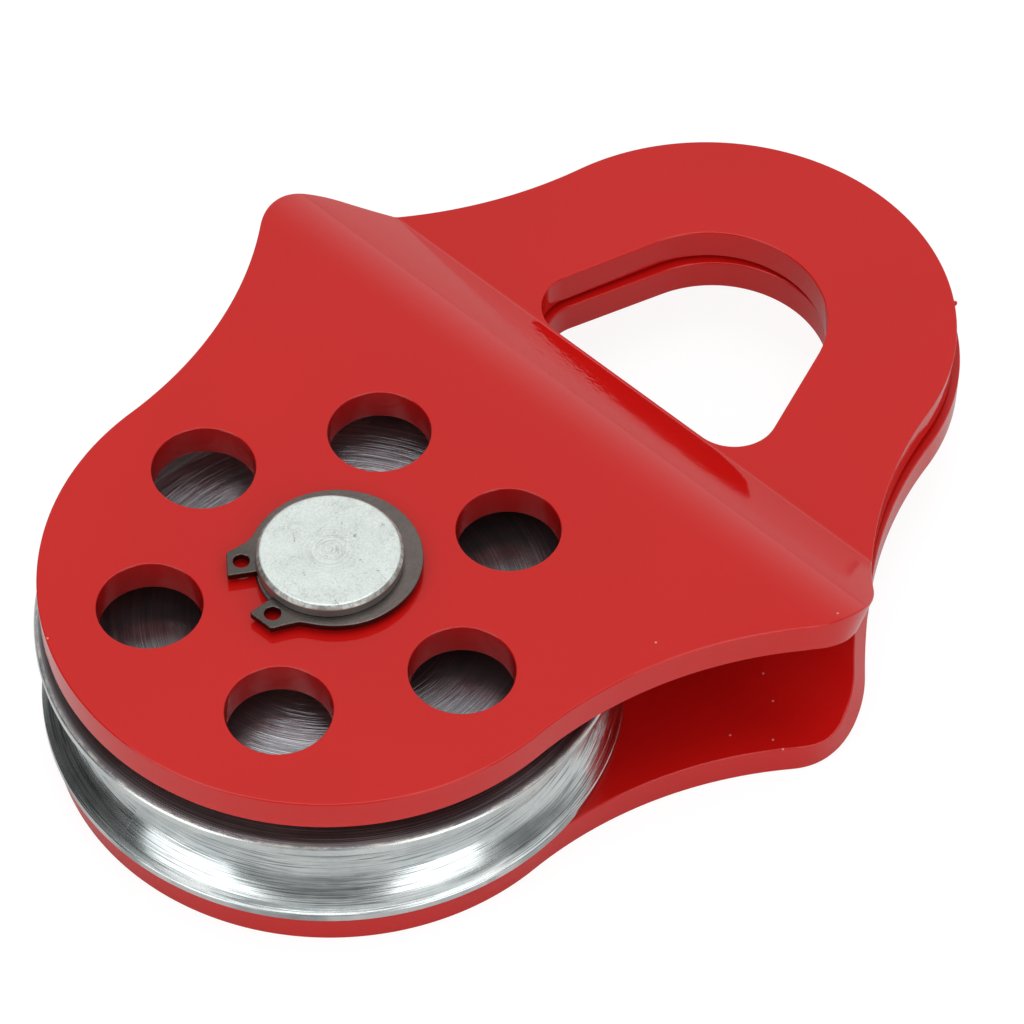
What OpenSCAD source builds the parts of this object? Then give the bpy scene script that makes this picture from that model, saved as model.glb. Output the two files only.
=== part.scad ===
// Snatch block: two bent side plates on one pin, with a grooved sheave between them.
// The origin is on the pin axis at the outer face of the lower plate, which the block lies on.
// +X runs from the pin to the shackle eye, and +Z is up through the pin.

/* [Sheave] */
// Diameter of the sheave over its two rims
sheave_d = 113.8; // [90:0.2:130]
// Width of the sheave from face to face
sheave_w = 23.4; // [20:0.2:30]
// Radius of the round rope groove
groove_r = 10.3; // [9:0.1:11]
// Depth of the rope groove below the rims
groove_depth = 6.8; // [4:0.1:9]
// Bevel at the outer edge of each sheave face
rim_bevel = 0.45; // [0.2:0.05:0.8]
// Gap between the sheave and the lower plate
sheave_seat = 0.3; // [0.2:0.05:1]
// Room above the sheave, in which it can slide along its sleeve
sheave_float = 5; // [1:0.1:8]

/* [Pin and sleeve] */
// Diameter of the pin
pin_d = 28.1; // [20:0.1:34]
// Height of the pin above the upper plate
pin_proud = 5.2; // [4.4:0.1:9]
// Bevel round the top of the pin
pin_bevel = 0.75; // [0.2:0.05:1.5]
// Diameter of the countersunk foot of the pin
pin_foot_d = 35; // [35:0.5:39]
// Wall of the sleeve that runs on the pin
sleeve_wall = 3.9; // [2:0.1:6]
// Radial running clearance of the sleeve, the sheave and the upper plate
run_fit = 0.08; // [0.03:0.01:0.1]
// End clearance of the sleeve between the plates
sleeve_end_fit = 0.1; // [0.05:0.05:0.3]

/* [Retaining ring] */
// Thickness of the retaining ring
ring_t = 1.5; // [1:0.1:2]
// Depth of the ring's groove in the pin
ring_groove_depth = 0.75; // [0.4:0.05:1.2]
// Height of the ring above the upper plate
ring_lift = 1; // [0.3:0.1:1.5]
// Width of the ring's band opposite its gap
ring_band = 4.4; // [3:0.1:5]
// How much narrower the band is beside the gap
ring_taper = 2.3; // [0:0.1:2.5]
// Direction that the ring's gap faces, from +X
ring_turn = 162; // [0:1:359]
// Distance from the pin's side to the outer end of the lugs
lug_reach = 5.7; // [5:0.1:7]
// Diameter of the plier holes in the lugs
lug_hole_d = 3.1; // [2:0.1:3.4]

/* [Side plates] */
// Thickness of each side plate
plate_t = 7; // [5:0.5:9]
// How far the sheave stands out past the round edge of the plates
rim_step = 1.4; // [0.5:0.1:3]
// Radius of the hollow flank between the round edge and a wing
flank_r = 85.6; // [75:0.5:110]
// Distance from the pin axis to the centre of a wing tip, along the plate
wing_x = 62.4; // [60:0.1:66]
// Distance from the centre line to the outermost point of a wing
wing_reach = 77.4; // [72:0.1:82]
// Radius of a wing tip
wing_r = 16.5; // [10:0.5:18]
// Radius of the hollow neck between a wing and the eye end
neck_r = 91.8; // [80:0.5:120]
// Room between the sheave and the start of the upper bend
throat_gap = 4.1; // [3:0.1:9]
// Slope of the plate between its two bends
slope_a = 33.4; // [28:0.2:38]
// Outer radius of the bend at the sheave end
soft_bend_r = 24; // [14:0.5:26]
// Hollow radius of the bend at the eye end
crease_r = 2; // [0.5:0.1:3]
// Gap between the eye ends of the two plates
eye_gap = 0.9; // [0.6:0.1:2]
// How far the upper plate is swung round the pin
swing = 0.9; // [0:0.1:2]

/* [Lightening holes] */
// Number of lightening holes in each plate
hole_count = 6; // [4:1:6]
// Diameter of a lightening hole
hole_d = 20.1; // [12:0.1:22]
// Diameter of the circle that the holes lie on
hole_circle_d = 70; // [66:0.5:76]

/* [Shackle eye] */
// Length of the eye from the crease to its far end
eye_l = 48.4; // [44:0.1:56]
// Widest opening of the eye, beside the crease
eye_w = 58.4; // [50:0.2:64]
// Radius of the eye's round far end
eye_end_r = 23.2; // [18:0.2:25]
// Radius of the eye's two corners beside the crease
eye_corner_r = 9; // [4:0.5:10]
// Wall between the far end of the eye and the end of the plate
eye_wall = 26.4; // [20:0.2:30]
// Radius of the plate's round end at the eye
end_r = 49.2; // [45:0.2:53]

/* [Hidden] */

sheave_r = sheave_d / 2;
pin_r = pin_d / 2;
sleeve_r = pin_r + sleeve_wall;
plate_gap = sheave_seat + sheave_w + sheave_float;
block_h = plate_gap + 2 * plate_t;
pin_top = block_h + pin_proud;
foot_depth = (pin_foot_d - pin_d) / 2;
ring_z = block_h + ring_lift;
ring_side_fit = 0.05;
ring_bore_r = pin_r - ring_groove_depth + ring_side_fit;

rim_r = sheave_r - rim_step;
bend_x = sheave_r + throat_gap;
drop = (plate_gap - eye_gap) / 2;
crease_x = bend_x + drop / tan(slope_a);
eye_x = crease_x + crease_r * tan(slope_a / 2);
end_x = eye_x + eye_l + eye_wall - end_r;
wing = [wing_x, wing_reach - wing_r];
eye_end = [end_x, 0];
cut = 1;

// Degrees between the points of a computed arc
arc_step = 3;
$fn = 96;

// Points of an arc from angle a to angle b, both in degrees
function arc(centre, r, a, b) =
    let (steps = max(1, ceil(abs(b - a) / arc_step)))
    [for (i = [0:steps]) centre + r * [cos(a + (b - a) * i / steps), sin(a + (b - a) * i / steps)]];

// Direction from p to q, in degrees
function bearing(p, q) = atan2(q[1] - p[1], q[0] - p[0]);

// The point at distance ra from a and rb from b that lies left of the line from a to b
function meeting(a, ra, b, rb) =
    let (d = norm(b - a), along = (ra * ra - rb * rb + d * d) / (2 * d),
         aside = sqrt(ra * ra - along * along), u = (b - a) / d)
    a + along * u + aside * [-u[1], u[0]];

function mirrored(points) = [for (i = [len(points) - 1:-1:0]) [points[i][0], -points[i][1]]];

// Half of the plate's outline, from the round edge over one wing to the end of the eye
function half_outline() =
    let (flank = meeting([0, 0], rim_r + flank_r, wing, wing_r + flank_r),
         neck = meeting(wing, wing_r + neck_r, eye_end, end_r + neck_r))
    concat(
        arc([0, 0], rim_r, 180, bearing([0, 0], flank)),
        arc(flank, flank_r, bearing(flank, [0, 0]), bearing(flank, wing)),
        arc(wing, wing_r, bearing(wing, flank), bearing(wing, neck)),
        arc(neck, neck_r, bearing(neck, wing), bearing(neck, eye_end)),
        arc(eye_end, end_r, bearing(eye_end, neck), 0));

// Half of the eye's outline: a corner at the crease, then a straight side into the round end
function half_eye() =
    let (corner = [eye_x + eye_corner_r, eye_w / 2 - eye_corner_r],
         far = [eye_x + eye_l - eye_end_r, 0],
         lean = bearing(corner, far) + acos((eye_corner_r - eye_end_r) / norm(far - corner)))
    concat(arc(corner, eye_corner_r, 180, lean), arc(far, eye_end_r, lean, 0));

// Closed outline from its half, without doubling the points on the centre line
function closed(half) = concat(half, [for (p = mirrored(half)) if (abs(p[1]) > 0.001) p]);

// Top line of the bent plate from x = 0 to x_end, lowered by sink along its own normal.
// Both bends are concentric arcs, so the plate keeps its thickness round them.
function bent_line(x_end, sink) =
    let (soft = [bend_x - soft_bend_r * tan(slope_a / 2), -soft_bend_r],
         crease = [crease_x + crease_r * tan(slope_a / 2), crease_r - drop])
    concat(
        arc(soft, soft_bend_r - sink, 90, 90 - slope_a),
        arc(crease, crease_r + sink, 270 - slope_a, 270),
        [[x_end, -drop - sink]]);

// Side view of the bent strip that the plate is cut from, top face at z = 0
module bent_strip() {
    x_start = -rim_r - cut;
    x_end = eye_x + eye_l + eye_wall + cut;
    upper = concat([[x_start, 0]], bent_line(x_end, 0));
    lower = concat([[x_start, -plate_t]], bent_line(x_end, plate_t));
    width = 2 * (wing_reach + cut);
    translate([0, width / 2, 0]) rotate([90, 0, 0]) linear_extrude(width)
        polygon(concat(upper, [for (i = [len(lower) - 1:-1:0]) lower[i]]));
}

// One side plate with its top face at z = 0, dropping towards the eye
module side_plate(bore_r) {
    tall = drop + plate_t + 2 * cut;
    difference() {
        intersection() {
            bent_strip();
            translate([0, 0, cut - tall]) linear_extrude(tall) polygon(closed(half_outline()));
        }
        translate([0, 0, cut - tall]) linear_extrude(tall) polygon(closed(half_eye()));
        translate([0, 0, -plate_t - cut]) cylinder(h = plate_t + 2 * cut, r = bore_r);
        for (i = [0:hole_count - 1])
            rotate([0, 0, (i + 0.5) * 360 / hole_count])
                translate([hole_circle_d / 2, 0, -plate_t - cut])
                    cylinder(h = plate_t + 2 * cut, d = hole_d);
    }
}

module upper_side_plate() {
    color([0.79, 0.20, 0.19]) rotate([0, 0, swing]) translate([0, 0, block_h]) side_plate(pin_r + run_fit);
}

// The lower plate is the same part turned over, with a countersink for the pin's foot
module lower_side_plate() {
    color([0.79, 0.20, 0.19]) difference() {
        mirror([0, 0, 1]) side_plate(pin_r);
        translate([0, 0, -cut]) cylinder(h = cut + foot_depth, r1 = pin_foot_d / 2 + cut, r2 = pin_r);
    }
}

// Turned sheave: beveled rims, a round rope groove and a plain bore
module sheave() {
    bore_r = sleeve_r + run_fit;
    color([0.78, 0.80, 0.80]) translate([0, 0, plate_t + sheave_seat]) difference() {
        rotate_extrude($fn = 180) polygon([
            [bore_r, 0], [sheave_r - rim_bevel, 0], [sheave_r, rim_bevel],
            [sheave_r, sheave_w - rim_bevel], [sheave_r - rim_bevel, sheave_w], [bore_r, sheave_w]]);
        translate([0, 0, sheave_w / 2]) rotate_extrude($fn = 180)
            translate([sheave_r - groove_depth + groove_r, 0]) circle(r = groove_r);
    }
}

// Sleeve that keeps the plates apart and that the sheave runs on
module sheave_sleeve() {
    color([0.72, 0.53, 0.30]) translate([0, 0, plate_t + sleeve_end_fit]) difference() {
        cylinder(h = plate_gap - 2 * sleeve_end_fit, r = sleeve_r);
        translate([0, 0, -cut]) cylinder(h = plate_gap + 2 * cut, r = pin_r + run_fit);
    }
}

// Pin with a countersunk foot, a ring groove above the upper plate and a beveled top
module axle_pin() {
    groove_floor_r = pin_r - ring_groove_depth;
    color([0.87, 0.90, 0.89]) rotate_extrude() polygon([
        [0, 0], [pin_foot_d / 2, 0], [pin_r, foot_depth],
        [pin_r, ring_z - ring_side_fit], [groove_floor_r, ring_z - ring_side_fit],
        [groove_floor_r, ring_z + ring_t + ring_side_fit], [pin_r, ring_z + ring_t + ring_side_fit],
        [pin_r, pin_top - pin_bevel], [pin_r - pin_bevel, pin_top], [0, pin_top]]);
}

// One lug of the ring beside its gap, on the side that side = 1 or -1 gives
module ring_lug(side) {
    gap_a = 14;
    hole_a = 24.8;
    top_a = 30;
    foot_a = 44;
    corner_r = 0.7;
    tip_r = pin_r + lug_reach - corner_r;
    band_r = ring_bore_r + ring_band - ring_taper - 0.4;
    turn = corner_r / tip_r * 180 / PI;
    points = concat(
        [band_r * [cos(gap_a), sin(gap_a)]],
        arc(tip_r * [cos(gap_a + turn), sin(gap_a + turn)], corner_r, gap_a - 90, gap_a),
        arc(tip_r * [cos(top_a), sin(top_a)], corner_r, top_a, top_a + 60),
        [band_r * [cos(foot_a), sin(foot_a)]]);
    difference() {
        linear_extrude(ring_t) polygon([for (p = points) [p[0], side * p[1]]]);
        rotate([0, 0, side * hole_a]) translate([tip_r - 1.7, 0, -cut])
            cylinder(h = ring_t + 2 * cut, d = lug_hole_d, $fn = 48);
    }
}

// Spring ring: an eccentric band, widest opposite its gap, with two lugs for pliers
module retaining_ring() {
    gap_a = 14;
    reach = pin_r + lug_reach;
    color([0.22, 0.22, 0.21]) translate([0, 0, ring_z]) rotate([0, 0, ring_turn]) {
        difference() {
            translate([-ring_taper / 2, 0, 0])
                cylinder(h = ring_t, r = ring_bore_r + ring_band - ring_taper / 2);
            translate([0, 0, -cut]) cylinder(h = ring_t + 2 * cut, r = ring_bore_r);
            translate([0, 0, -cut]) linear_extrude(ring_t + 2 * cut)
                polygon([[0, 0], reach * [cos(gap_a), sin(gap_a)] / cos(gap_a),
                         reach * [cos(gap_a), -sin(gap_a)] / cos(gap_a)]);
        }
        for (side = [-1, 1]) ring_lug(side);
    }
}

lower_side_plate();
upper_side_plate();
sheave();
sheave_sleeve();
axle_pin();
retaining_ring();
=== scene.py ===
"""Snatch block: two bent red side plates on a pin, with a turned, zinc plated sheave between them."""

import math

import bpy
import numpy as np
from mathutils import Matrix
from mathutils.geometry import delaunay_2d_cdt


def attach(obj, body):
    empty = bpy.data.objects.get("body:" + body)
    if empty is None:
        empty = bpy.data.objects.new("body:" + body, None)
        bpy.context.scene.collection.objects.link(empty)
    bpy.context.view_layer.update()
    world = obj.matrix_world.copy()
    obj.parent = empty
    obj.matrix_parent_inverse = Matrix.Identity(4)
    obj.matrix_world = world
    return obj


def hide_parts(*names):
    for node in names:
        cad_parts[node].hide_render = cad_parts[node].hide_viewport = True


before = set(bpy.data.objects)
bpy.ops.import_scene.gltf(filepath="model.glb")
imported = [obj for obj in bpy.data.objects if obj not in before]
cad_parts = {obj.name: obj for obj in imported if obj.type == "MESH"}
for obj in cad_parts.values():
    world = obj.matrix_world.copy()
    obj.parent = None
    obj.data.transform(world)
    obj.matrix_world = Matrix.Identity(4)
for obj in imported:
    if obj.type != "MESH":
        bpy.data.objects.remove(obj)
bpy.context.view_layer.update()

# Sizes in mm, the same as in the part's source. The sheave
SHEAVE_R = 56.9
SHEAVE_W = 23.4
GROOVE_R = 10.3
GROOVE_DEPTH = 6.8
RIM_BEVEL = 0.45
SHEAVE_SEAT = 0.3
SHEAVE_FLOAT = 5.0
# The pin and the sleeve
PIN_R = 14.05
PIN_PROUD = 5.2
PIN_BEVEL = 0.75
PIN_FOOT_R = 17.5
SLEEVE_WALL = 3.9
RUN_FIT = 0.08
SLEEVE_END_FIT = 0.1
# The retaining ring, whose turn is in degrees
RING_T = 1.5
RING_GROOVE_DEPTH = 0.75
RING_LIFT = 1.0
RING_BAND = 4.4
RING_TAPER = 2.3
RING_TURN = 162.0
LUG_REACH = 5.7
LUG_HOLE_R = 1.55
# The side plates' outline
PLATE_T = 7.0
RIM_STEP = 1.4
FLANK_R = 85.6
WING_X = 62.4
WING_REACH = 77.4
WING_R = 16.5
NECK_R = 91.8
END_R = 49.2
# Their bends, with the slope in radians and the upper plate's swing in degrees
THROAT_GAP = 4.1
SLOPE = math.radians(33.4)
SOFT_BEND_R = 24.0
CREASE_R = 2.0
EYE_GAP = 0.9
SWING = 0.9
# Their lightening holes and eye
HOLE_COUNT = 6
HOLE_R = 10.05
HOLE_CIRCLE_R = 35.0
EYE_L = 48.4
EYE_W = 58.4
EYE_END_R = 23.2
EYE_CORNER_R = 9.0
EYE_WALL = 26.4

# Where the plier holes are, the bend that the outer faces shade as, and how far edges are rounded
LUG_HOLE_CIRCLE_R = 16.75
LUG_HOLE_TURN = 24.8
SHADING_BEND_R = 29.0
PLATE_FILLET = 0.32
HOLE_FILLET = 0.28
BORE_FILLET = 0.3
RING_FILLET = 0.2
# Points inside a bent face: the first one's place, their spacing and how near they come to the outline
GRID_START = 0.8
GRID_STEP = 1.7
GRID_CLEAR = 0.55

SLEEVE_R = PIN_R + SLEEVE_WALL
PLATE_GAP = SHEAVE_SEAT + SHEAVE_W + SHEAVE_FLOAT
BLOCK_H = PLATE_GAP + 2 * PLATE_T
PIN_TOP = BLOCK_H + PIN_PROUD
FOOT_DEPTH = PIN_FOOT_R - PIN_R
RING_Z = BLOCK_H + RING_LIFT
RING_BORE_R = PIN_R - RING_GROOVE_DEPTH + 0.05
RIM_R = SHEAVE_R - RIM_STEP
BEND_X = SHEAVE_R + THROAT_GAP
DROP = (PLATE_GAP - EYE_GAP) / 2
CREASE_X = BEND_X + DROP / math.tan(SLOPE)
SOFT_X = BEND_X - SOFT_BEND_R * math.tan(SLOPE / 2)
EYE_X = CREASE_X + CREASE_R * math.tan(SLOPE / 2)
END_X = EYE_X + EYE_L + EYE_WALL - END_R
ZINC_Z = PLATE_T + SHEAVE_SEAT
# Marks in the groove, in metres
STAIN = (0.0, -0.0525, 0.0250)
SPOT = (0.0, -0.0540, 0.0270)
# Specks in the plates' paint, in metres, and a nib of paint on the upper plate's edge, in mm
PAINT_SPECKS = (
    (0.03092, -0.05569, 0.04270),
    (-0.04934, 0.02455, 0.04270),
    (0.06075, -0.07446, 0.04199),
    (0.05749, -0.06342, 0.00741),
    (0.06051, -0.05794, 0.00838),
    (0.04572, -0.06309, 0.00700),
    (0.05084, -0.06964, 0.00700),
    (0.05058, -0.07251, 0.00690),
)
NIB = (146.0, -29.9, 28.0)
NIB_SIZE = (0.75, 0.55, 0.55)


# Outlines: each loop is (points, normals out of the material), with the material on its left
def direction(degrees):
    a = np.radians(degrees)
    return np.stack([np.cos(a), np.sin(a)], -1)


def bearing(p, q):
    return math.degrees(math.atan2(q[1] - p[1], q[0] - p[0]))


def arc(centre, r, a, b, step, side=1):
    """Points of an arc, at most step mm apart, and their normals. side is -1 for a hollow."""
    n = max(1, math.ceil(abs(b - a) * math.pi / 180 * r / step))
    d = direction(np.linspace(a, b, n + 1))
    return np.asarray(centre, float) + r * d, side * d


def meeting(a, ra, b, rb):
    a, b = np.asarray(a, float), np.asarray(b, float)
    d = np.linalg.norm(b - a)
    along = (ra * ra - rb * rb + d * d) / (2 * d)
    u = (b - a) / d
    return a + along * u + math.sqrt(ra * ra - along * along) * np.array([-u[1], u[0]])


def join(*parts):
    """One run from several that follow each other, without the doubled points where they meet."""
    points, normals = [], []
    for p, n in parts:
        start = 1 if points and np.linalg.norm(points[-1][-1] - p[0]) < 1e-6 else 0
        points.append(p[start:])
        normals.append(n[start:])
    return np.vstack(points), np.vstack(normals)


def mirrored_loop(half):
    """The closed loop of a half that starts and ends on the X axis, run anticlockwise."""
    p, n = half
    low_p, low_n = p * [1, -1], n * [1, -1]
    return np.vstack([low_p, p[::-1][1:-1]]), np.vstack([low_n, n[::-1][1:-1]])


def plate_loop():
    wing, end = (WING_X, WING_REACH - WING_R), (END_X, 0.0)
    flank = meeting((0, 0), RIM_R + FLANK_R, wing, WING_R + FLANK_R)
    neck = meeting(wing, WING_R + NECK_R, end, END_R + NECK_R)
    half = join(
        arc((0, 0), RIM_R, 180, bearing((0, 0), flank), 0.9),
        arc(flank, FLANK_R, bearing(flank, (0, 0)), bearing(flank, wing), 0.7, -1),
        arc(wing, WING_R, bearing(wing, flank), bearing(wing, neck), 0.45),
        arc(neck, NECK_R, bearing(neck, wing), bearing(neck, end), 0.45, -1),
        arc(end, END_R, bearing(end, neck), 0, 0.9),
    )
    return mirrored_loop(half)


def eye_loop():
    corner = np.array([EYE_X + EYE_CORNER_R, EYE_W / 2 - EYE_CORNER_R])
    far = np.array([EYE_X + EYE_L - EYE_END_R, 0.0])
    lean = bearing(corner, far) + math.degrees(
        math.acos((EYE_CORNER_R - EYE_END_R) / np.linalg.norm(far - corner))
    )
    straight = np.stack([np.full(12, EYE_X), np.linspace(0, corner[1], 12)], -1)
    half = join(
        (straight, np.tile([1.0, 0.0], (12, 1))),
        arc(corner, EYE_CORNER_R, 180, lean, 0.4, -1),
        arc(far, EYE_END_R, lean, 0, 0.6, -1),
    )
    p, n = mirrored_loop(half)
    return p[::-1], n[::-1]


def round_hole(centre, r, count):
    d = direction(np.arange(count) * -360.0 / count)
    return np.asarray(centre, float) + r * d, -d


# Slabs: a flat or bent plate between two surfaces, with every edge rounded
def bend_angle(x, soft_r, sink):
    """Slope angle of the bent plate at x, where the soft bend's outer radius is soft_r."""
    soft_x = BEND_X - soft_r * math.tan(SLOPE / 2)
    a = np.minimum(np.arcsin(np.clip((x - soft_x) / (soft_r - sink), 0, 1)), SLOPE)
    crease_r = CREASE_R + sink
    crease = np.arcsin(np.clip((EYE_X - x) / crease_r, 0, 1))
    return np.where(x > EYE_X - crease_r * math.sin(SLOPE), crease, a)


def bent_line(x, sink):
    """Height, slope and shaded slope of the bent plate at x, sink mm below its outer face."""
    x = np.asarray(x, float)
    soft_r, crease_r = SOFT_BEND_R - sink, CREASE_R + sink
    z = -(x - BEND_X) * math.tan(SLOPE) - sink / math.cos(SLOPE)
    s = np.clip((x - SOFT_X) / soft_r, 0, 0.999)
    z = np.where(x < SOFT_X + soft_r * math.sin(SLOPE), -SOFT_BEND_R + soft_r * np.sqrt(1 - s * s), z)
    s = np.clip((EYE_X - x) / crease_r, 0, 0.999)
    z = np.where(x > EYE_X - crease_r * math.sin(SLOPE), CREASE_R - DROP - crease_r * np.sqrt(1 - s * s), z)
    # The outer face still straightens out a little beyond the bend, which its reflections show
    shaded_r = SHADING_BEND_R if sink == 0 else SOFT_BEND_R
    return z, bend_angle(x, SOFT_BEND_R, sink), bend_angle(x, shaded_r, sink)


def bent(sink):
    """A face of the bent plate, in the form that slab takes."""
    return lambda x: bent_line(x, sink)


def flat(z):
    """A level face, in the form that slab takes."""
    return lambda x: (np.full(len(x), z), np.zeros(len(x)), np.zeros(len(x)))


def bent_grid(sink):
    """Lines of x at which the bent plate needs points of its own."""
    soft_r, crease_r = SOFT_BEND_R - sink, CREASE_R + sink
    a = np.linspace(0, SLOPE, 15)
    b = np.linspace(0, SLOPE, 7 if sink == 0 else 11)
    return np.concatenate([SOFT_X + soft_r * np.sin(a), EYE_X - crease_r * np.sin(b)])


def face_normals(a):
    return np.stack([np.sin(a), np.zeros_like(a), np.cos(a)], -1)


def edge_rings(corner, face, wall, fillet, steps):
    """Rings of points and normals that turn from a face into the wall."""
    centre = corner - fillet * (face + wall)
    rings = []
    for i in range(steps + 1):
        t = i / steps * math.pi / 2
        n = math.cos(t) * face + math.sin(t) * wall
        rings.append((centre + fillet * n, n))
    return rings


def wall_rings(loop, top, thickness, fillet, steps=4):
    """The rings of a wall that stands square on the plate, also where the plate is bent."""
    points, normals = loop
    z, a, shading = top(points[:, 0])
    corner = np.column_stack([points, z])
    c, s = np.cos(a), np.sin(a)
    wall = np.column_stack([normals[:, 0] * c, normals[:, 1] / c, -normals[:, 0] * s])
    wall /= np.linalg.norm(wall, axis=1)[:, None]
    down = edge_rings(corner, face_normals(a), wall, fillet, steps)
    down[0] = (down[0][0], face_normals(shading))
    up = edge_rings(corner - thickness * face_normals(a), -face_normals(a), wall, fillet, steps)
    return down + up[::-1]


def closer(loop, turn=math.radians(3)):
    """The loop with more points where it crosses a bend, so that no side sweeps more than turn of it."""
    points, normals = loop
    fine = np.linspace(0, 1, 33)
    out_p, out_n = [], []
    for p, q, m, k in zip(points, np.roll(points, -1, 0), normals, np.roll(normals, -1, 0)):
        swept = np.sum(np.abs(np.diff(bend_angle(p[0] + (q[0] - p[0]) * fine, SOFT_BEND_R, 0))))
        for t in np.arange(0, 1, 1 / max(1, math.ceil(swept / turn))):
            out_p.append(p + (q - p) * t)
            n = m + (k - m) * t
            out_n.append(n / np.linalg.norm(n))
    return np.array(out_p), np.array(out_n)


def inside(points, loops):
    """Whether each point lies in the region between the loops."""
    odd = np.zeros(len(points), bool)
    x, y = points[:, 0], points[:, 1]
    for loop in loops:
        nxt = np.roll(loop, -1, 0)
        for (x0, y0), (x1, y1) in zip(loop, nxt):
            if y0 == y1:
                continue
            hit = (y0 > y) != (y1 > y)
            odd ^= hit & (x < x0 + (y - y0) * (x1 - x0) / (y1 - y0))
    return odd


def cap(rings, grid):
    """Triangles between the loops' rings, with extra points along the grid's lines."""
    loops = [r[:, :2] for r in rings]
    points = np.vstack(loops)
    edges, start = [], 0
    for loop in loops:
        n = len(loop)
        edges += [(start + i, start + (i + 1) % n) for i in range(n)]
        start += n
    if len(grid):
        low, high = points.min(0), points.max(0)
        ys = np.arange(low[1] + GRID_START, high[1], GRID_STEP)
        extra = np.array([(x, y) for x in grid for y in ys])
        extra = extra[inside(extra, loops)]
        near = np.array([np.min(np.sum((points - e) ** 2, 1)) for e in extra])
        extra = extra[near > GRID_CLEAR ** 2]
        every = np.vstack([points, extra])
    else:
        every = points
    result = delaunay_2d_cdt([tuple(p) for p in every], edges, [], 0, 1e-7, True)
    source = [o[0] if o else -1 for o in result[3]]
    faces = [tuple(source[i] for i in f) for f in result[2]]
    faces = [f for f in faces if min(f) >= 0 and len(set(f)) == 3]
    middle = np.array([every[list(f)].mean(0) for f in faces])
    keep = inside(middle, loops)
    return every[len(points):], [f for f, k in zip(faces, keep) if k]


def slab(walls, top, bottom, top_grid=(), bottom_grid=()):
    """Vertices, normals and faces of a slab. walls has the rings of each loop, from the top face down."""
    verts, norms, faces = [], [], []
    count = 0
    first = []
    for rings in walls:
        n = len(rings[0][0])
        first.append((count, n, len(rings)))
        for p, m in rings:
            verts.append(p)
            norms.append(m)
        for k in range(len(rings) - 1):
            a, b = count + k * n, count + (k + 1) * n
            for i in range(n):
                j = (i + 1) % n
                faces.append((a + i, b + i, b + j, a + j))
        count += n * len(rings)
    for surface, grid, up in ((top, top_grid, 1), (bottom, bottom_grid, -1)):
        rings = [w[0][0] if up == 1 else w[-1][0] for w in walls]
        extra, tris = cap(rings, grid)
        index = []
        for start, n, levels in first:
            base = start if up == 1 else start + (levels - 1) * n
            index += range(base, base + n)
        index += range(count, count + len(extra))
        if len(extra):
            z, _, a = surface(extra[:, 0])
            verts.append(np.column_stack([extra, z]))
            norms.append(face_normals(a) * up)
            count += len(extra)
        faces += [tuple(index[i] for i in (t if up == 1 else t[::-1])) for t in tris]
    return np.vstack(verts), np.vstack(norms), faces


def make_object(name, verts, norms, faces, material):
    mesh = bpy.data.meshes.new(name)
    mesh.from_pydata((np.asarray(verts) / 1000).tolist(), [], faces)
    mesh.polygons.foreach_set("use_smooth", [True] * len(mesh.polygons))
    norms = np.asarray(norms)
    norms = norms / np.linalg.norm(norms, axis=1)[:, None]
    mesh.normals_split_custom_set_from_vertices(norms.tolist())
    mesh.update()
    obj = bpy.data.objects.new(name, mesh)
    bpy.context.scene.collection.objects.link(obj)
    mesh.materials.append(material)
    return obj


def turned(verts, norms, degrees, lift):
    """Vertices and normals turned about Z and lifted."""
    a = math.radians(degrees)
    c, s = math.cos(a), math.sin(a)
    turn = np.array([[c, -s, 0], [s, c, 0], [0, 0, 1]])
    return verts @ turn.T + [0, 0, lift], norms @ turn.T


# Revolved pieces
def rounded(corners, closed, steps=5):
    """A run through corners of (x, y, rounding), with the corners rounded."""
    p = np.array([c[:2] for c in corners], float)
    ends = () if closed else (0, len(corners) - 1)
    out = []
    for i, (_, _, cut) in enumerate(corners):
        if cut <= 0 or i in ends:
            out.append(p[i])
            continue
        before, after = p[i - 1] - p[i], p[(i + 1) % len(p)] - p[i]
        a = p[i] + before / np.linalg.norm(before) * cut
        b = p[i] + after / np.linalg.norm(after) * cut
        for t in np.linspace(0, 1, steps + 1):
            out.append((1 - t) ** 2 * a + 2 * t * (1 - t) * p[i] + t * t * b)
    return np.array(out)


def softened(corners, longest=2.0):
    """An open profile from corners of (r, z, rounding), with its long sides cut into shorter ones."""
    out = rounded(corners, False)
    dense = [out[0]]
    for q in out[1:]:
        start = dense[-1]
        d = np.linalg.norm(q - start)
        if d < 1e-6:
            continue
        cuts = math.ceil(d / longest)
        dense += [start + (q - start) * k / cuts for k in range(1, cuts + 1)]
    return np.array(dense)


def profile_normals(p, closed):
    """Normals on the right of a run, weighted by the length of the sides beside each point."""
    d = np.diff(np.vstack([p, p[:1]]) if closed else p, axis=0)
    n = np.stack([d[:, 1], -d[:, 0]], -1)
    if closed:
        total = n + np.roll(n, 1, 0)
    else:
        total = np.vstack([n[:1], n[1:] + n[:-1], n[-1:]])
    return total / np.linalg.norm(total, axis=1)[:, None]


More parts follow.
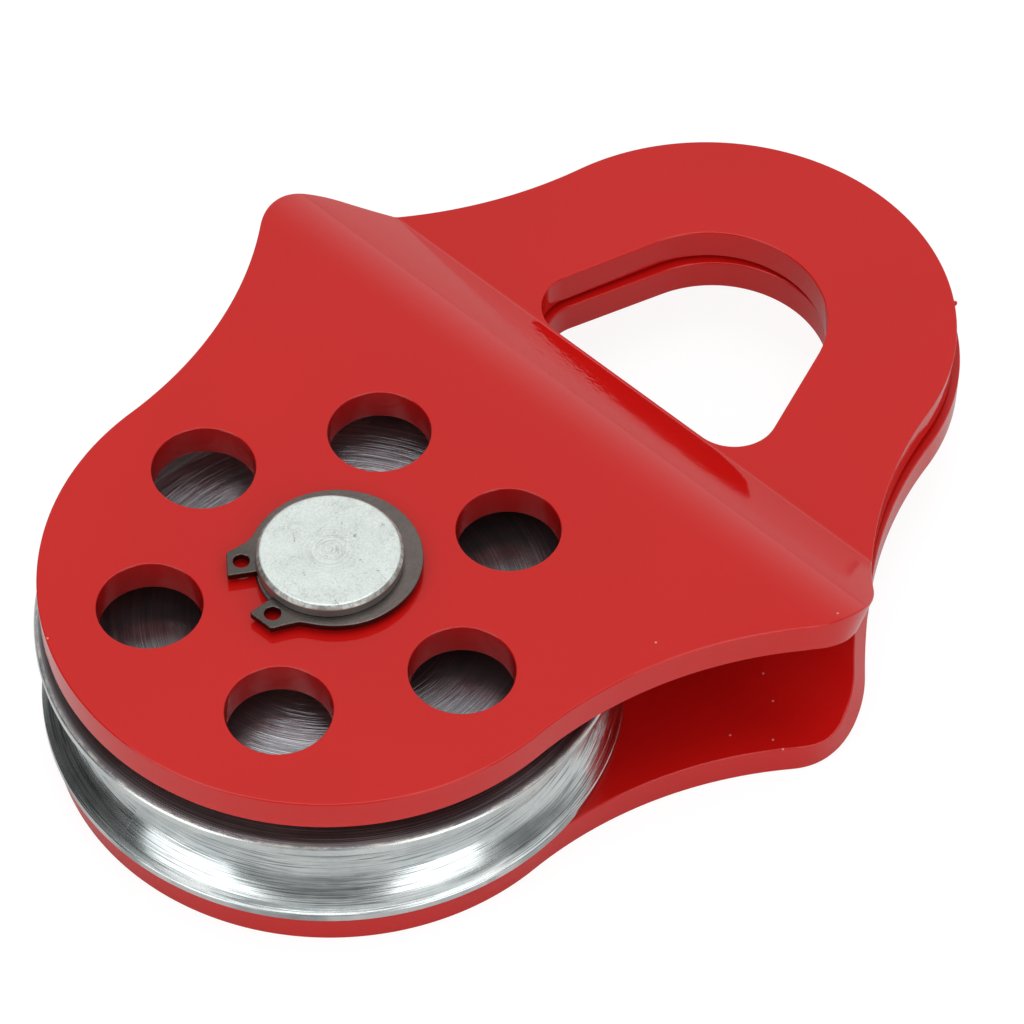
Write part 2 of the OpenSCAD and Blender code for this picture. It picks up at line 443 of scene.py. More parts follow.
def revolved(profile, count, closed):
    """A profile of (r, z) turned about Z, with the material on its left. An open one ends at r = 0."""
    n = profile_normals(profile, closed)
    if not closed:
        n[0], n[-1] = (0, n[1][1]), (0, n[-2][1])
    d = direction(np.arange(count) * 360.0 / count)
    verts, norms, rows = [], [], []
    for (r, z), (nr, nz) in zip(profile, n):
        if r < 1e-9:
            rows.append([len(verts)] * count)
            verts.append((0, 0, z))
            norms.append((0, 0, nz))
            continue
        rows.append(list(range(len(verts), len(verts) + count)))
        for c, s in d:
            verts.append((r * c, r * s, z))
            norms.append((nr * c, nr * s, nz))
    faces = []
    pairs = list(zip(rows, rows[1:])) + ([(rows[-1], rows[0])] if closed else [])
    for a, b in pairs:
        for i in range(count):
            j = (i + 1) % count
            f = [a[i], a[j], b[j], b[i]]
            f = [v for k, v in enumerate(f) if v != f[k - 1]]
            faces.append(tuple(f))
    return np.array(verts, float), np.array(norms, float), faces


# Material helpers
class Nodes:
    """Adds nodes to a material's or world's tree, from left to right."""

    def __init__(self, tree):
        self.tree = tree
        tree.nodes.clear()
        self.x = 0

    def add(self, kind, inputs=(), **settings):
        node = self.tree.nodes.new(kind)
        node.location = (self.x, 0)
        self.x += 180
        for key, value in settings.items():
            setattr(node, key, value)
        for key, value in dict(inputs).items():
            if isinstance(value, bpy.types.NodeSocket):
                self.tree.links.new(value, node.inputs[key])
            else:
                node.inputs[key].default_value = value
        return node

    def math(self, operation, a, b=0.0, c=None):
        inputs = {0: a, 1: b}
        if c is not None:
            inputs[2] = c
        return self.add("ShaderNodeMath", inputs, operation=operation).outputs[0]

    def times(self, a, b):
        return self.math("MULTIPLY", a, b)

    def plus(self, a, b):
        return self.math("ADD", a, b)

    def minus(self, a, b):
        return self.math("SUBTRACT", a, b)

    def length(self, x, y):
        return self.math("SQRT", self.plus(self.times(x, x), self.times(y, y)))

    def polar(self, x, y):
        """Distance from the axis and angle about it."""
        return self.length(x, y), self.math("ARCTAN2", y, x)

    def distance(self, a, b):
        return self.add("ShaderNodeVectorMath", {0: a, 1: b}, operation="DISTANCE").outputs["Value"]

    def band(self, value, low, high):
        """0 below low, 1 above high, and smooth between."""
        node = self.add("ShaderNodeMapRange", {"Value": value, "From Min": low, "From Max": high})
        node.interpolation_type = "SMOOTHSTEP"
        return node.outputs["Result"]

    def mix(self, factor, a, b):
        node = self.add("ShaderNodeMix", data_type="RGBA")
        for socket, value in ((node.inputs[0], factor), (node.inputs[6], a), (node.inputs[7], b)):
            if isinstance(value, bpy.types.NodeSocket):
                self.tree.links.new(value, socket)
            else:
                socket.default_value = value
        return node.outputs[2]

    def noise(self, vector, scale, detail=2.0, roughness=0.5):
        node = self.add("ShaderNodeTexNoise", {"Scale": scale, "Detail": detail, "Roughness": roughness})
        self.tree.links.new(vector, node.inputs["Vector"])
        return node.outputs["Fac"]

    def combine(self, x, y, z):
        return self.add("ShaderNodeCombineXYZ", {"X": x, "Y": y, "Z": z}).outputs[0]

    def coordinates(self):
        """The shaded point in the frame of its piece, in metres, and its x, y and z."""
        at = self.add("ShaderNodeTexCoord").outputs["Object"]
        x, y, z = self.add("ShaderNodeSeparateXYZ", {0: at}).outputs
        return at, x, y, z

    def stretched(self, vector, turn, share):
        """The vector turned about Z and squeezed, for marks that are long in one direction."""
        inputs = {"Vector": vector, "Rotation": (0.0, 0.0, turn), "Scale": (1.0, share, 1.0)}
        return self.add("ShaderNodeMapping", inputs).outputs[0]

    def bump(self, height, strength, distance):
        inputs = {"Height": height, "Strength": strength, "Distance": distance}
        return self.add("ShaderNodeBump", inputs).outputs[0]


def new_material(name):
    material = bpy.data.materials.new(name)
    material.use_nodes = True
    nodes = Nodes(material.node_tree)
    return material, nodes


def finish_material(nodes, **inputs):
    shader = nodes.add("ShaderNodeBsdfPrincipled", {k.replace("_", " "): v for k, v in inputs.items()})
    nodes.add("ShaderNodeOutputMaterial", {"Surface": shader.outputs[0]})


def red_paint():
    material, n = new_material("red_paint")
    at, x, y, z = n.coordinates()
    colour = n.mix(n.noise(at, 28.0, 1.0), (0.580, 0.0072, 0.0060, 1), (0.638, 0.0087, 0.0072, 1))
    # Specks of dust in the paint, where they were seen
    nearest = 1.0
    for place in PAINT_SPECKS:
        nearest = n.math("MINIMUM", n.distance(at, place), nearest)
    speck = n.minus(1.0, n.band(nearest, 0.00010, 0.00030))
    colour = n.mix(n.times(speck, 0.55), colour, (0.95, 0.62, 0.55, 1))
    # The paint is thinner and darker inside the lightening holes
    radius, turn = n.polar(x, y)
    step = 2 * math.pi / HOLE_COUNT
    swung = n.times(n.math("GREATER_THAN", z, BLOCK_H / 2000), math.radians(SWING))
    turn = n.minus(n.math("FLOORED_MODULO", n.minus(turn, swung), step), step / 2)
    along = n.minus(n.times(radius, n.math("COSINE", turn)), HOLE_CIRCLE_R / 1000)
    beside = n.times(radius, n.math("SINE", turn))
    # Painted shade: the paint is darkened inside the lightening holes, which lie in shade
    to_hole = n.length(along, beside)
    hole_shade = n.minus(1.0, n.band(to_hole, (HOLE_R + 0.02) / 1000, (HOLE_R + 0.30) / 1000))
    colour = n.mix(n.times(hole_shade, 0.42), colour, (0.16, 0.002, 0.003, 1))
    # Orange peel: slight everywhere, and coarser on the slope at the left of the eye
    peel = n.noise(at, 330.0, 1.0)
    coarse = n.distance(at, (0.0735, 0.016, 0.034))
    coarse = n.minus(1.0, n.band(coarse, 0.010, 0.024))
    ripple = n.times(n.noise(at, 800.0, 1.0), n.times(coarse, 2.3))
    bump = n.bump(n.plus(n.times(peel, 0.8), ripple), 0.10, 0.0002)
    rough = n.math("MULTIPLY_ADD", n.noise(at, 160.0, 1.0), 0.04, 0.06)
    tint = (1.0, 0.95, 0.90, 1.0)
    finish_material(n, Base_Color=colour, Roughness=rough, Normal=bump, IOR=1.48, Specular_Tint=tint)
    return material


def turned_zinc():
    """Zinc plating over turned steel: lines round the axis in the groove and on the rims and faces."""
    material, n = new_material("sheave_zinc")
    at, x, y, z = n.coordinates()
    radius, angle = n.polar(x, y)
    middle = (ZINC_Z + SHEAVE_W / 2) / 1000
    groove_centre = (SHEAVE_R - GROOVE_DEPTH + GROOVE_R) / 1000
    # Place across the groove, in metres along its arc, and the parts of the sheave
    tilt = n.math("ARCTAN2", n.minus(z, middle), n.minus(groove_centre, radius))
    across = n.times(tilt, GROOVE_R / 1000)
    away = n.math("ABSOLUTE", n.minus(z, middle))
    face = n.math("GREATER_THAN", away, (SHEAVE_W / 2 - 0.12) / 1000)
    groove = n.math("LESS_THAN", radius, (SHEAVE_R - 0.25) / 1000)
    groove = n.times(groove, n.minus(1.0, face))
    low_half = n.minus(1.0, n.band(across, -0.0020, 0.0030))
    # The cutter's lines: fine ones, and wider passes that fade in and out round the sheave
    place = n.plus(n.times(across, groove), n.times(radius, n.minus(1.0, groove)))
    fine = n.noise(n.combine(place, n.times(angle, 0.0012), 0.0), 3600.0, 2.0, 0.6)
    wide = n.noise(n.combine(place, n.times(angle, 0.0004), 0.3), 900.0, 2.0, 0.55)
    patches = n.noise(n.combine(n.times(angle, 0.030), n.times(place, 3.0), 0.0), 55.0, 2.0, 0.6)
    patches = n.band(patches, 0.32, 0.56)
    right = n.band(n.math("COSINE", n.minus(angle, math.radians(318))), 0.62, 0.88)
    depth = n.math("MULTIPLY_ADD", n.times(patches, low_half), 0.88, 0.12)
    depth = n.math("MAXIMUM", depth, n.times(right, 1.9))
    lines = n.times(n.plus(n.times(fine, 0.35), wide), depth)
    # Fine crossing marks on the flat faces
    ticks = n.math("SINE", n.math("MULTIPLY_ADD", angle, 560.0, n.times(radius, 5200.0)))
    steps = n.math("SINE", n.times(radius, 13500.0))
    weave = n.times(n.times(ticks, steps), n.band(radius, 0.044, 0.050))
    straight = n.noise(n.combine(radius, n.times(angle, 0.00022), 0.9), 4600.0, 3.0, 0.6)
    on_face = n.plus(n.times(straight, 1.1), n.times(weave, 0.5))
    height = n.plus(n.times(lines, n.minus(1.0, face)), n.times(on_face, face))
    # Scratches that cross the lines
    scratch = n.band(n.noise(n.stretched(at, 0.7, 0.045), 620.0, 2.0, 0.6), 0.735, 0.76)
    scratch = n.times(scratch, face)
    bump = n.bump(n.minus(height, n.times(scratch, 0.7)), 0.75, 0.00010)

    cloud = n.noise(at, 75.0, 4.0, 0.62)
    bright = n.mix(n.band(cloud, 0.35, 0.65), (0.625, 0.68, 0.685, 1), (0.81, 0.855, 0.845, 1))
    # Dark passes of the cutter, broken up round the sheave, and thin dark lines between them
    streak = n.band(n.noise(n.combine(place, n.times(angle, 0.0016), 0.7), 1500.0, 3.0, 0.7), 0.50, 0.68)
    thin = n.band(n.noise(n.combine(place, n.times(angle, 0.0010), 1.9), 3300.0, 2.0, 0.5), 0.52, 0.60)
    streak = n.math("MAXIMUM", n.times(streak, 0.50), n.times(thin, 0.72))
    shown = n.times(patches, n.math("MULTIPLY_ADD", low_half, 0.96, 0.04))
    streak = n.times(streak, n.math("MAXIMUM", shown, n.times(right, 0.6)))
    colour = n.mix(streak, bright, (0.17, 0.19, 0.20, 1))
    # A yellow stain and a dark spot in the groove
    stain = n.distance(at, STAIN)
    stain = n.times(n.minus(1.0, n.band(stain, 0.0015, 0.0085)), n.band(cloud, 0.30, 0.60))
    colour = n.mix(n.times(stain, 0.75), colour, (0.66, 0.56, 0.30, 1))
    spot = n.minus(1.0, n.band(n.distance(at, SPOT), 0.0004, 0.0010))
    colour = n.mix(n.times(spot, 0.8), colour, (0.16, 0.13, 0.10, 1))
    # The faces are duller, with pale lines and scratches
    dull = n.mix(n.band(cloud, 0.35, 0.65), (0.24, 0.26, 0.28, 1), (0.36, 0.385, 0.41, 1))
    pale = n.band(straight, 0.50, 0.66)
    dull = n.mix(n.times(pale, 0.55), dull, (0.74, 0.78, 0.80, 1))
    dull = n.mix(n.times(scratch, 0.8), dull, (0.88, 0.89, 0.89, 1))
    outer = n.times(face, n.band(radius, 0.045, 0.049))
    # Painted shade on the outer part of the faces, which lies under the plates
    plate_shade = n.times(outer, n.minus(1.0, n.band(radius, 0.0551, 0.0561)))
    # Painted sheen: two opposite sectors of the faces are darker, as a brushed face's sheen shows them;
    # painted shade darkens the outer part, under the plates, but for a place at the front
    sheen_sector = n.math("COSINE", n.math("MULTIPLY_ADD", angle, 2.0, math.radians(-89)))
    sheen_sector = n.times(n.math("MULTIPLY_ADD", sheen_sector, -0.5, 0.5), n.minus(1.0, outer))
    dull = n.mix(n.times(sheen_sector, 0.50), dull, (0.035, 0.032, 0.034, 1))
    # A place at the front where the painted shade is lifted in broken streaks
    front = n.band(n.math("COSINE", n.minus(angle, math.radians(228))), 0.50, 0.88)
    shade_lift = n.times(n.times(n.band(straight, 0.46, 0.60), n.band(radius, 0.0510, 0.0550)), front)
    plate_shade = n.times(plate_shade, n.math("MULTIPLY_ADD", shade_lift, -0.85, 1.0))
    dull = n.mix(n.times(plate_shade, 0.80), dull, (0.070, 0.052, 0.050, 1))
    colour = n.mix(face, colour, dull)
    # Bare, knocked edge where the rims meet the faces
    by_face = n.band(away, (SHEAVE_W / 2 - 0.7) / 1000, (SHEAVE_W / 2 - 0.3) / 1000)
    edge = n.times(n.band(radius, 0.05590, 0.05625), by_face)
    knocks = n.noise(n.combine(n.times(angle, 0.055), n.times(radius, 2.0), z), 420.0, 3.0, 0.7)
    bare = n.times(edge, n.band(knocks, 0.34, 0.66))
    colour = n.mix(n.times(bare, 0.9), colour, (0.80, 0.80, 0.74, 1))

    rough = n.math("MULTIPLY_ADD", cloud, 0.12, 0.13)
    rough = n.plus(rough, n.times(n.minus(1.0, low_half), 0.07))
    rough = n.minus(rough, n.times(face, 0.09))
    rough = n.plus(rough, n.times(outer, 0.22))
    metal = n.minus(1.0, n.times(bare, 0.3))
    metal = n.minus(metal, n.times(face, 0.12))
    finish_material(n, Base_Color=colour, Metallic=metal, Roughness=rough, Normal=bump)
    return material


def pin_zinc():
    material, n = new_material("pin_zinc")
    at, x, y, z = n.coordinates()
    radius, angle = n.polar(x, y)
    top = n.math("GREATER_THAN", z, (PIN_TOP - 0.1) / 1000)
    side = n.minus(1.0, top)
    cloud = n.noise(at, 170.0, 5.0, 0.62)
    colour = n.mix(n.band(cloud, 0.3, 0.7), (0.745, 0.81, 0.78, 1), (0.825, 0.885, 0.855, 1))
    # Grain, pits, thin veins, rings about the middle and fine scratches on the turned top
    grain = n.band(n.noise(at, 2300.0, 3.0, 0.7), 0.36, 0.64)
    colour = n.mix(n.math("MULTIPLY_ADD", grain, -0.28, 0.28), colour, (0.45, 0.47, 0.44, 1))
    pit = n.band(n.noise(at, 1500.0, 3.0, 0.7), 0.62, 0.70)
    specks = n.band(n.noise(at, 560.0, 4.0, 0.75), 0.64, 0.69)
    vein = n.math("ABSOLUTE", n.minus(n.noise(at, 640.0, 4.0, 0.7), 0.5))
    vein = n.times(n.minus(1.0, n.band(vein, 0.004, 0.016)), n.band(n.noise(at, 260.0, 2.0), 0.46, 0.60))
    rings = n.noise(n.combine(radius, n.times(angle, 0.0002), 0.0), 2400.0, 2.0, 0.6)
    fade = n.minus(1.0, n.band(radius, 0.0010, 0.0080))
    colour = n.mix(n.times(n.band(rings, 0.48, 0.60), n.times(fade, 0.42)), colour, (0.42, 0.43, 0.40, 1))
    scratch = n.band(n.noise(n.stretched(at, 2.1, 0.05), 900.0, 2.0, 0.6), 0.70, 0.73)
    scratch = n.times(scratch, n.band(radius, 0.004, 0.009))
    marks = n.math("MAXIMUM", n.times(pit, 0.45), n.times(n.math("MAXIMUM", specks, scratch), 0.80))
    marks = n.math("MAXIMUM", marks, n.times(vein, 0.45))
    colour = n.mix(n.times(marks, top), colour, (0.27, 0.26, 0.22, 1))
    # Painted shade: a dark band on the side just under the bevel
    under_bevel = n.math("LESS_THAN", z, (PIN_TOP - 0.85) / 1000)
    bevel_foot_shade = n.times(n.band(z, (PIN_TOP - 1.9) / 1000, (PIN_TOP - 1.5) / 1000), under_bevel)
    colour = n.mix(n.times(bevel_foot_shade, 0.75), colour, (0.07, 0.05, 0.04, 1))
    # Painted shade: a patchy dark bevel, a side darker than the top with upright streaks, and a brown line
    # under the bevel
    bevel = n.times(side, n.band(z, (PIN_TOP - 0.85) / 1000, (PIN_TOP - 0.70) / 1000))
    patchy_bevel_shade = n.band(n.noise(n.combine(n.times(angle, 0.014), z, 0.4), 420.0, 3.0, 0.7), 0.36, 0.60)
    colour = n.mix(n.times(bevel, n.math("MULTIPLY_ADD", patchy_bevel_shade, 0.55, 0.20)), colour, (0.20, 0.18, 0.16, 1))
    shaded_side = n.minus(1.0, n.band(z, (PIN_TOP - 1.25) / 1000, (PIN_TOP - 0.75) / 1000))
    colour = n.mix(n.times(side, shaded_side), colour, (0.30, 0.295, 0.285, 1))
    upright = n.noise(n.combine(n.times(angle, 0.014), n.times(z, 0.12), 0.0), 900.0, 3.0, 0.7)
    streaks = n.times(n.band(upright, 0.45, 0.62), n.times(under_bevel, 0.45))
    colour = n.mix(streaks, colour, (0.30, 0.31, 0.31, 1))
    line = n.times(side, n.band(z, (PIN_TOP - 1.15) / 1000, (PIN_TOP - 0.9) / 1000))
    line = n.times(line, n.minus(1.0, n.band(z, (PIN_TOP - 0.8) / 1000, (PIN_TOP - 0.65) / 1000)))
    colour = n.mix(n.times(line, 0.7), colour, (0.30, 0.22, 0.15, 1))
    bump = n.bump(n.plus(n.times(n.times(rings, fade), 0.6), n.times(marks, -0.9)), 0.4, 0.0001)
    rough = n.math("MULTIPLY_ADD", cloud, 0.16, 0.36)
    finish_material(n, Base_Color=colour, Metallic=0.85, Roughness=rough, Normal=bump)
    return material


def ring_black():
    material, n = new_material("ring_black")
    at, x, y, z = n.coordinates()
    cloud = n.noise(at, 300.0, 4.0, 0.6)
    colour = n.mix(cloud, (0.142, 0.122, 0.112, 1), (0.208, 0.180, 0.166, 1))
    grain = n.noise(at, 2600.0, 3.0, 0.7)
    colour = n.mix(n.times(n.band(grain, 0.45, 0.68), 0.35), colour, (0.07, 0.06, 0.055, 1))
    # Painted shade: darker towards the lugs and on the sides
    turn = math.radians(RING_TURN)
    towards = n.plus(n.times(x, math.cos(turn)), n.times(y, math.sin(turn)))
    colour = n.mix(n.times(n.band(towards, 0.004, 0.017), 0.40), colour, (0.045, 0.040, 0.036, 1))
    below = n.minus(1.0, n.band(z, (RING_Z + RING_T - 0.25) / 1000, (RING_Z + RING_T - 0.10) / 1000))
    colour = n.mix(n.times(below, 0.80), colour, (0.030, 0.028, 0.026, 1))
    bump = n.bump(grain, 0.35, 0.0001)
    finish_material(n, Base_Color=colour, Metallic=1.0, Roughness=0.27, Normal=bump)
    return material


def sleeve_bronze():
    material, n = new_material("sleeve_bronze")
    at, _, _, z = n.coordinates()
    lines = n.noise(n.combine(0.0, 0.0, z), 2400.0, 3.0, 0.6)
    colour = n.mix(n.noise(at, 200.0, 3.0), (0.42, 0.24, 0.10, 1), (0.58, 0.36, 0.15, 1))
    bump = n.bump(lines, 0.3, 0.0001)
    finish_material(n, Base_Color=colour, Metallic=1.0, Roughness=0.38, Normal=bump)
    return material


RED = red_paint()
ZINC = turned_zinc()
PIN = pin_zinc()
BLACK = ring_black()
BRONZE = sleeve_bronze()


# Side plates
def countersunk_bore(count=96):
    """Rings of the lower plate's bore, which opens into a countersink at the outer face."""
    circle, out = round_hole((0, 0), 1.0, count)
    bore = PIN_R + 0.02
    rings = []
    for r, z, degrees in (
        (PIN_FOOT_R + 0.12, 0, 90),
        (PIN_FOOT_R + 0.04, -0.03, 67.5),
        (PIN_FOOT_R, -0.09, 45),
        (bore + 0.1, -FOOT_DEPTH, 45),
        (bore, -FOOT_DEPTH - 0.15, 0),
        (bore, -PLATE_T + 0.3, 0),
        (bore + 0.09, -PLATE_T + 0.09, -45),
        (bore + 0.3, -PLATE_T, -90),
    ):
        a = math.radians(degrees)
        rings.append((
            np.column_stack([circle * r, np.full(count, z)]),
            np.column_stack([out * math.cos(a), np.full(count, math.sin(a))]),
        ))
    return rings


def side_plate(name, lower):
    top, bottom = bent(0.0), bent(PLATE_T)
    walls = [wall_rings(loop, top, PLATE_T, PLATE_FILLET) for loop in (closer(plate_loop()), eye_loop())]
    for k in range(HOLE_COUNT):
        centre = HOLE_CIRCLE_R * direction((k + 0.5) * 360 / HOLE_COUNT)
        walls.append(wall_rings(round_hole(centre, HOLE_R, 96), top, PLATE_T, HOLE_FILLET))
    if lower:
        walls.append(countersunk_bore())
    else:
        walls.append(wall_rings(round_hole((0, 0), PIN_R + RUN_FIT, 128), top, PLATE_T, BORE_FILLET))
    verts, norms, faces = slab(walls, top, bottom, bent_grid(0.0), bent_grid(PLATE_T))
    if lower:
        verts, norms = verts * [1, 1, -1], norms * [1, 1, -1]
        faces = [f[::-1] for f in faces]
    else:
        verts, norms = turned(verts, norms, SWING, BLOCK_H)
        verts, norms, faces = with_nib(verts, norms, faces)
    return make_object(name, verts, norms, faces, RED)


def with_nib(verts, norms, faces, sides=16, levels=8):
    """The plate with a small drop of paint on its edge."""
    # A ball's directions: its top, the points of each level, and its foot
    out = [(0.0, 0.0, 1.0)]
    for i in range(1, levels):
        a = math.pi * i / levels
        for c, s in direction(np.arange(sides) * 360.0 / sides):
            out.append((math.sin(a) * c, math.sin(a) * s, math.cos(a)))
    out = np.array(out + [(0.0, 0.0, -1.0)])
    start, foot = len(verts), 1 + (levels - 2) * sides
    drop = []
    for j in range(sides):
        k = (j + 1) % sides
        drop.append((0, 1 + j, 1 + k))
        drop += [(a + j, a + sides + j, a + sides + k, a + k) for a in range(1, foot, sides)]
        drop.append((foot + k, foot + j, len(out) - 1))
    faces = faces + [tuple(start + v for v in f) for f in drop]
    return np.vstack([verts, np.array(NIB) + out * NIB_SIZE]), np.vstack([norms, out]), faces


upper = side_plate("painted_upper_plate", False)
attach(upper, "swinging_plate")
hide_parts("upper_side_plate")

lower = side_plate("painted_lower_plate", True)
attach(lower, "lower_plate_and_pin")
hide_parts("lower_side_plate")


# Sheave
def sheave_profile():
    bore = SLEEVE_R + RUN_FIT
    low, high, mid = ZINC_Z, ZINC_Z + SHEAVE_W, ZINC_Z + SHEAVE_W / 2
    centre_r = SHEAVE_R - GROOVE_DEPTH + GROOVE_R
    half = math.sqrt(GROOVE_R ** 2 - (centre_r - SHEAVE_R) ** 2)
    # The groove ends a little short of the rims, whose lips are rounded
    reach = math.atan2(half, centre_r - SHEAVE_R) - 0.05
    a = np.linspace(reach, -reach, 72)
    groove = np.stack([centre_r - GROOVE_R * np.cos(a), mid - GROOVE_R * np.sin(a)], -1)
    first = softened([
        (bore, mid, 0),
        (bore, low, 0.4),
        (SHEAVE_R - RIM_BEVEL, low, 0.2),
        (SHEAVE_R, low + RIM_BEVEL, 0.2),
        (SHEAVE_R, mid - half, 0.25),
        (*groove[0], 0),
    ])
    last = softened([
        (*groove[-1], 0),
        (SHEAVE_R, mid + half, 0.25),
        (SHEAVE_R, high - RIM_BEVEL, 0.2),
        (SHEAVE_R - RIM_BEVEL, high, 0.2),
        (bore, high, 0.4),
        (bore, mid, 0),
    ])
    return np.vstack([first, groove[1:], last[1:-1]])


sheave = make_object("turned_sheave", *revolved(sheave_profile(), 288, True), ZINC)
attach(sheave, "sheave")
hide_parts("sheave")


# Sleeve
def sleeve_profile():
    inner, low, high = PIN_R + RUN_FIT, PLATE_T + SLEEVE_END_FIT, PLATE_T + PLATE_GAP - SLEEVE_END_FIT
    mid = (low + high) / 2
    return softened([
        (inner, mid, 0),
        (inner, low, 0.3),
        (SLEEVE_R, low, 0.4),
        (SLEEVE_R, high, 0.4),
        (inner, high, 0.3),
        (inner, mid, 0),
    ])[:-1]


sleeve = make_object("bearing_sleeve", *revolved(sleeve_profile(), 128, True), BRONZE)
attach(sleeve, "sleeve")
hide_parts("sheave_sleeve")


# Pin
def pin_profile():
    floor_r = PIN_R - RING_GROOVE_DEPTH
    groove_low, groove_high = RING_Z - 0.05, RING_Z + RING_T + 0.05
    return softened([
        (0, 0, 0),
        (PIN_FOOT_R - 0.05, 0, 0.12),
        (PIN_R, FOOT_DEPTH, 0),
        (PIN_R, groove_low, 0.1),
        (floor_r, groove_low, 0.05),
        (floor_r, groove_high, 0.05),
        (PIN_R, groove_high, 0.15),
        (PIN_R, PIN_TOP - PIN_BEVEL, 0.3),
        (PIN_R - PIN_BEVEL, PIN_TOP, 0.3),
        (0, PIN_TOP, 0),
    ])


pin = make_object("plated_pin", *revolved(pin_profile(), 192, False), PIN)
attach(pin, "lower_plate_and_pin")
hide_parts("axle_pin")


# Retaining ring
def ring_loops():
    """The ring's outline with its gap towards +X, and its two plier holes."""
    # Angles from the middle of the gap, in degrees
    gap, lug_corner, lug_side, lug_foot = 14.2, 31.0, 35.0, 45.0
    reach = PIN_R + LUG_REACH
    outer_r = RING_BORE_R + RING_BAND - RING_TAPER / 2

    def corner(r, degrees, rounding):
        return (*(r * direction(degrees)), rounding)

    def mirror(corners):
        return [(x, -y, rounding) for x, y, rounding in corners]

    outer = np.array([-RING_TAPER / 2, 0]) + outer_r * direction(np.arange(lug_foot + 4, 180.01, 2.5))
    half = [
        corner(RING_BORE_R, gap, 0.25),
        corner(reach - 0.1, gap + 0.4, 0.5),
        corner(reach, lug_corner, 0.5),
        corner(reach - 1.6, lug_side, 0.6),
        corner(outer_r - 0.55, lug_foot - 1.5, 0.9),
    ] + [(*p, 0.0) for p in outer]
    inner = [(*p, 0.0) for p in RING_BORE_R * direction(np.arange(gap + 2, 180.01, 2.5))]
    p = rounded(half + mirror(half)[-2::-1] + mirror(inner) + inner[-2::-1], True)
    loops = [(p, profile_normals(p, True))]
    for side in (-1, 1):
        loops.append(round_hole(LUG_HOLE_CIRCLE_R * direction(side * LUG_HOLE_TURN), LUG_HOLE_R, 40))
    return loops


def retaining_ring():
    top, bottom = flat(RING_T), flat(0.0)
    walls = [wall_rings(loop, top, RING_T, RING_FILLET, 3) for loop in ring_loops()]
    verts, norms, faces = slab(walls, top, bottom)
    verts, norms = turned(verts, norms, RING_TURN, RING_Z)
    return make_object("spring_ring", verts, norms, faces, BLACK)


ring = retaining_ring()
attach(ring, "lower_plate_and_pin")
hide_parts("retaining_ring")


# Floor
def floor_material():
    material, n = new_material("floor_white")
    path = n.add("ShaderNodeLightPath")
    seen = n.math("MAXIMUM", path.outputs["Is Camera Ray"], n.times(path.outputs["Is Glossy Ray"], 0.5))
    plain = n.add("ShaderNodeBsdfPrincipled", {"Base Color": (0.89, 0.89, 0.89, 1), "Roughness": 0.32})
    strength = n.math("MULTIPLY_ADD", path.outputs["Is Camera Ray"], 0.70, 0.42)
    glow = n.add("ShaderNodeEmission", {"Color": (1, 1, 1, 1), "Strength": strength})
    mixed = n.add("ShaderNodeMixShader", {0: n.times(seen, 0.80), 1: plain.outputs[0], 2: glow.outputs[0]})
    n.add("ShaderNodeOutputMaterial", {"Surface": mixed.outputs[0]})
    return material


# In metres
FLOOR_HALF = 12
FLOOR_SINK = 0.00005
floor_mesh = bpy.data.meshes.new("floor")
floor_corners = [(FLOOR_HALF * x, FLOOR_HALF * y, 0) for x, y in ((-1, -1), (1, -1), (1, 1), (-1, 1))]
floor_mesh.from_pydata(floor_corners, [], [(0, 1, 2, 3)])
floor = bpy.data.objects.new("floor", floor_mesh)
floor.location.z = -FLOOR_SINK
floor_mesh.materials.append(floor_material())
bpy.context.scene.collection.objects.link(floor)


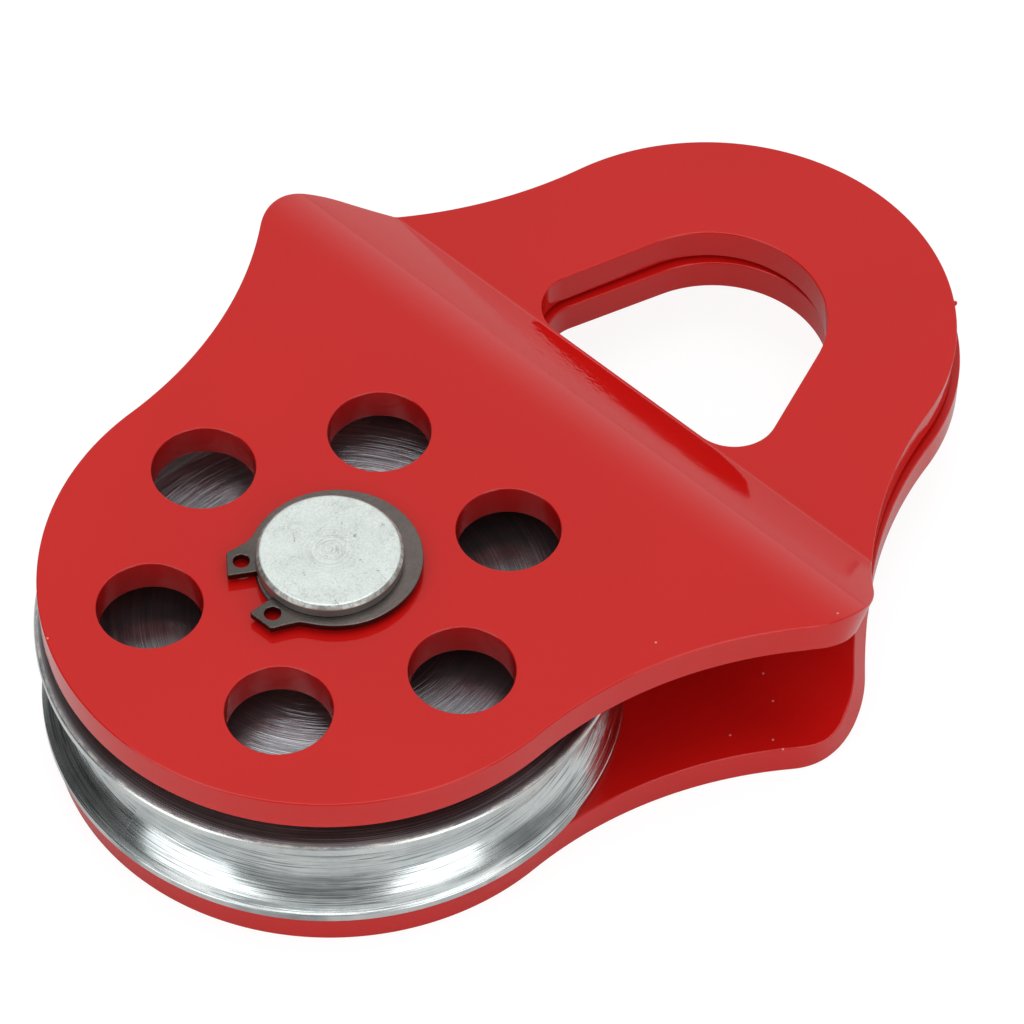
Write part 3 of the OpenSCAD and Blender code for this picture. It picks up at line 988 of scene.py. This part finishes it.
# World and lamps
def studio_world():
    world = bpy.data.worlds.new("studio")
    bpy.context.scene.world = world
    world.use_nodes = True
    n = Nodes(world.node_tree)
    towards = n.add("ShaderNodeTexCoord").outputs["Generated"]
    height = n.add("ShaderNodeSeparateXYZ", {0: towards}).outputs[2]

    def lobe(azimuth, elevation, low, high):
        """1 about a direction, and 0 from the angle whose cosine is low."""
        a, e = math.radians(azimuth), math.radians(elevation)
        way = (math.cos(a) * math.cos(e), math.sin(a) * math.cos(e), math.sin(e))
        dot = n.add("ShaderNodeVectorMath", {0: towards, 1: way}, operation="DOT_PRODUCT").outputs["Value"]
        return n.band(dot, low, high)

    # An even room that is brighter overhead
    strength = n.math("MULTIPLY_ADD", n.band(height, 0.78, 0.90), 0.35, 0.68)
    strength = n.plus(strength, n.times(lobe(36, 4, 0.84, 0.98), 0.16))
    # Dark places at the left, about the camera and at the right: how much each one dims, and its lobe
    for share, place in (
        (0.92, (131, 24, 0.74, 0.90)),
        (0.50, (214, 17, 0.80, 0.95)),
        (0.70, (293, 36, 0.88, 0.975)),
        (0.65, (226, 49, 0.92, 0.980)),
        (0.50, (224, 68, 0.90, 0.970)),
    ):
        strength = n.times(strength, n.math("MULTIPLY_ADD", lobe(*place), -share, 1.0))
    # Two small bright places high up on either side of the camera
    bright = n.plus(lobe(211, 57, 0.962, 0.988), lobe(252, 55, 0.962, 0.988))
    strength = n.plus(strength, n.times(bright, 0.30))
    # The camera sees it white
    seen = n.add("ShaderNodeLightPath").outputs["Is Camera Ray"]
    strength = n.plus(n.times(strength, n.minus(1.0, seen)), seen)
    back = n.add("ShaderNodeBackground", {"Color": (1, 1, 1, 1), "Strength": strength})
    n.add("ShaderNodeOutputWorld", {"Surface": back.outputs[0]})


studio_world()


def soft_box(name, azimuth, elevation, distance, size, watts, target=(0.03, -0.01, 0.03)):
    """A rectangular lamp that faces the block. azimuth is measured from +X towards +Y."""
    a, e = math.radians(azimuth), math.radians(elevation)
    out = np.array([math.cos(a) * math.cos(e), math.sin(a) * math.cos(e), math.sin(e)])
    data = bpy.data.lights.new(name, "AREA")
    data.shape = "RECTANGLE"
    data.size, data.size_y = size
    data.energy = watts
    lamp = bpy.data.objects.new(name, data)
    right = np.cross([0, 0, 1], out)
    right /= np.linalg.norm(right)
    up = np.cross(out, right)
    lamp.matrix_world = Matrix((
        (right[0], up[0], out[0], target[0] + out[0] * distance),
        (right[1], up[1], out[1], target[1] + out[1] * distance),
        (right[2], up[2], out[2], target[2] + out[2] * distance),
        (0, 0, 0, 1),
    ))
    bpy.context.scene.collection.objects.link(lamp)
    return lamp


soft_box("left_box", 174, 28, 1.5, (0.85, 1.40), 5.6)
soft_box("right_box", 262, 24, 1.5, (0.72, 1.15), 4.0)
soft_box("top_box", 60, 84, 1.5, (1.00, 1.00), 4.8)

# Camera
camera_data = bpy.data.cameras.new("camera")
camera_data.lens = 154.98
camera_data.sensor_width = 36.0
camera_data.clip_start = 0.05
camera_data.clip_end = 60.0
camera = bpy.data.objects.new("camera", camera_data)
RIGHT = (0.708792, -0.705369, 0.008284)
UP = (0.538975, 0.549092, 0.638752)
BACK = (-0.455096, -0.448286, 0.769368)
PLACE = (-0.349483, -0.392272, 0.691124)
camera.matrix_world = Matrix([[RIGHT[i], UP[i], BACK[i], PLACE[i]] for i in range(3)] + [[0, 0, 0, 1]])
bpy.context.scene.collection.objects.link(camera)
bpy.context.scene.camera = camera
bpy.context.scene.view_settings.view_transform = "Standard"
